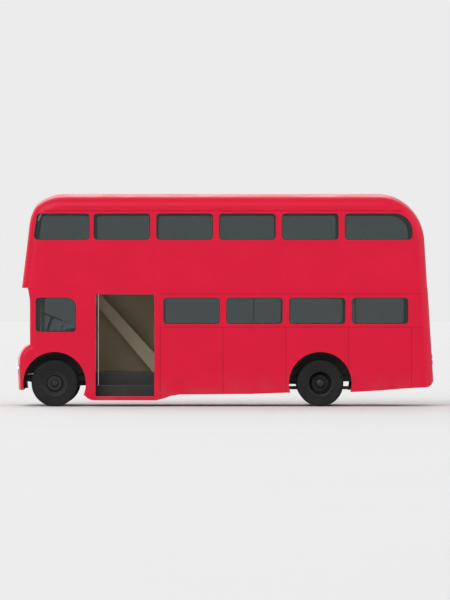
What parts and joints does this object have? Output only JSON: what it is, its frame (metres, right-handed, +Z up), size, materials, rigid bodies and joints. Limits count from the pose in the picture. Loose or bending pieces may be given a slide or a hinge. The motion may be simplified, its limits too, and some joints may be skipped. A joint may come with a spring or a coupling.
{
  "type": "double decker bus",
  "caption": "Front-engined double decker bus with domed upper deck, folding entrance doors behind the front wheels, twin rear wheels, steering and opening emergency exits.",
  "frame": {"origin": "on the ground, at the middle of the length and width", "axes": "-Y to the front, +X to the near (left) side, +Z up"},
  "size_m": [2.454, 8.5394, 4.37],
  "materials": {
    "bodywork": "gloss red paint",
    "glazing": "clear toughened glass",
    "tyre": "black rubber",
    "wheel_paint": "satin black paint",
    "chassis_paint": "matt black chassis paint",
    "engine_paint": "satin grey paint",
    "spring_steel": "dark spring steel",
    "exhaust_steel": "dull aluminised steel",
    "floor_cover": "ribbed floor covering",
    "lining": "cream laminate lining",
    "upholstery": "woven moquette",
    "seat_frame": "brushed tube and pressed panels",
    "rail_steel": "polished tube",
    "grille_metal": "satin anodised",
    "lamp": "bright bowl behind a clear lens",
    "tail_lens": "moulded red lens",
    "steering_plastic": "black moulded rim"
  },
  "bodies": {
    "coach": {"upper_front": "bodywork", "upper_rear": "bodywork", "upper_side_left": "bodywork", "upper_side_right": "bodywork", "roof": "bodywork", "lower_side_left": "bodywork", "lower_side_right": "bodywork", "lower_rear": "bodywork", "cab_front": "bodywork", "nose": "bodywork", "grille": "grille_metal", "headlamps": "lamp", "side_glass": "glazing", "front_glass": "glazing", "lower_floor": "floor_cover", "upper_floor": "floor_cover", "cab_floor": "floor_cover", "partition": "lining", "staircase": "lining", "door_gear": "lining", "handrails": "rail_steel", "seat_cushions": "upholstery", "seat_frames": "seat_frame", "chassis_frame": "chassis_paint", "engine": "engine_paint", "fuel_tank": "chassis_paint", "exhaust": "exhaust_steel", "front_axle": "chassis_paint", "rear_axle": "chassis_paint", "leaf_springs": "spring_steel", "tow_eyes": "chassis_paint", "steering_column": "chassis_paint", "tail_lamps": "tail_lens"},
    "steering_gear_left": {"knuckle_left": "chassis_paint"},
    "steering_gear_right": {"knuckle_right": "chassis_paint"},
    "front_wheel_left": {"tyre_front_left": "tyre", "wheel_front_left": "wheel_paint"},
    "front_wheel_right": {"tyre_front_right": "tyre", "wheel_front_right": "wheel_paint"},
    "rear_wheels_left": {"tyres_rear_left": "tyre", "wheels_rear_left": "wheel_paint"},
    "rear_wheels_right": {"tyres_rear_right": "tyre", "wheels_rear_right": "wheel_paint"},
    "hand_wheel": {"steering_wheel": "steering_plastic"},
    "cab_door": {"driver_door": "bodywork", "driver_door_glass": "glazing"},
    "emergency_door": {"rear_door": "bodywork", "rear_door_glass": "glazing"},
    "emergency_window": {"rescue_window": "bodywork", "rescue_glass": "glazing"},
    "leaf_front_a": {"door_leaf_front_a": "bodywork", "door_glass_front_a": "glazing"},
    "leaf_front_b": {"door_leaf_front_b": "bodywork", "door_glass_front_b": "glazing"},
    "leaf_rear_a": {"door_leaf_rear_a": "bodywork", "door_glass_rear_a": "glazing"},
    "leaf_rear_b": {"door_leaf_rear_b": "bodywork", "door_glass_rear_b": "glazing"}
  },
  "joints": [
    {"name": "steer_left", "type": "hinge", "parent": "coach", "child": "steering_gear_left", "pos_m": [0.87, -3.48, 0.475], "axis": [0, 0, 1], "range_deg": [-35, 35]},
    {"name": "steer_right", "type": "hinge", "parent": "coach", "child": "steering_gear_right", "pos_m": [-0.87, -3.48, 0.475], "axis": [0, 0, 1], "range_deg": [-35, 35]},
    {"name": "steering_wheel_turn", "type": "hinge", "parent": "coach", "child": "hand_wheel", "pos_m": [-0.7, -3.59, 1.83], "axis": [0, 0.3395, 0.9406], "range_deg": [-490, 490]},
    {"name": "front_wheel_left_spin", "type": "hinge", "parent": "steering_gear_left", "child": "front_wheel_left", "pos_m": [1.045, -3.48, 0.475], "axis": [1, 0, 0], "continuous": true},
    {"name": "front_wheel_right_spin", "type": "hinge", "parent": "steering_gear_right", "child": "front_wheel_right", "pos_m": [-1.045, -3.48, 0.475], "axis": [1, 0, 0], "continuous": true},
    {"name": "rear_wheels_left_spin", "type": "hinge", "parent": "coach", "child": "rear_wheels_left", "pos_m": [1.045, 1.953, 0.475], "axis": [1, 0, 0], "continuous": true},
    {"name": "rear_wheels_right_spin", "type": "hinge", "parent": "coach", "child": "rear_wheels_right", "pos_m": [-1.045, 1.953, 0.475], "axis": [1, 0, 0], "continuous": true},
    {"name": "driver_door_swing", "type": "hinge", "parent": "coach", "child": "cab_door", "pos_m": [-1.225, -3.845, 1.745], "axis": [0, 0, 1], "range_deg": [0, 85]},
    {"name": "rear_door_swing", "type": "hinge", "parent": "coach", "child": "emergency_door", "pos_m": [-0.343, 4.2546, 0.9], "axis": [0, -0.0617, 0.9981], "range_deg": [0, 100]},
    {"name": "rescue_window_lift", "type": "hinge", "parent": "coach", "child": "emergency_window", "pos_m": [0, 3.95711, 3.903], "axis": [1, 0, 0], "range_deg": [0, 80]},
    {"name": "leaf_front_a_swing", "type": "hinge", "parent": "coach", "child": "leaf_front_a", "pos_m": [1.143, -2.72, 1.27], "axis": [0, 0, 1], "range_deg": [-88, 0]},
    {"name": "leaf_front_b_fold", "type": "hinge", "parent": "leaf_front_a", "child": "leaf_front_b", "pos_m": [0.80687, -2.68925, 1.27], "axis": [0, 0, 1], "range_deg": [0, 176]},
    {"name": "leaf_rear_a_swing", "type": "hinge", "parent": "coach", "child": "leaf_rear_a", "pos_m": [1.143, -1.36, 1.27], "axis": [0, 0, 1], "range_deg": [0, 88]},
    {"name": "leaf_rear_b_fold", "type": "hinge", "parent": "leaf_rear_a", "child": "leaf_rear_b", "pos_m": [0.80687, -1.39075, 1.27], "axis": [0, 0, 1], "range_deg": [-176, 0]}
  ],
  "couplings": [
    {"joint": "steer_right", "follows": "steer_left", "ratio": 1},
    {"joint": "steering_wheel_turn", "follows": "steer_left", "ratio": 14},
    {"joint": "leaf_front_b_fold", "follows": "leaf_front_a_swing", "ratio": -2},
    {"joint": "leaf_rear_b_fold", "follows": "leaf_rear_a_swing", "ratio": -2}
  ]
}
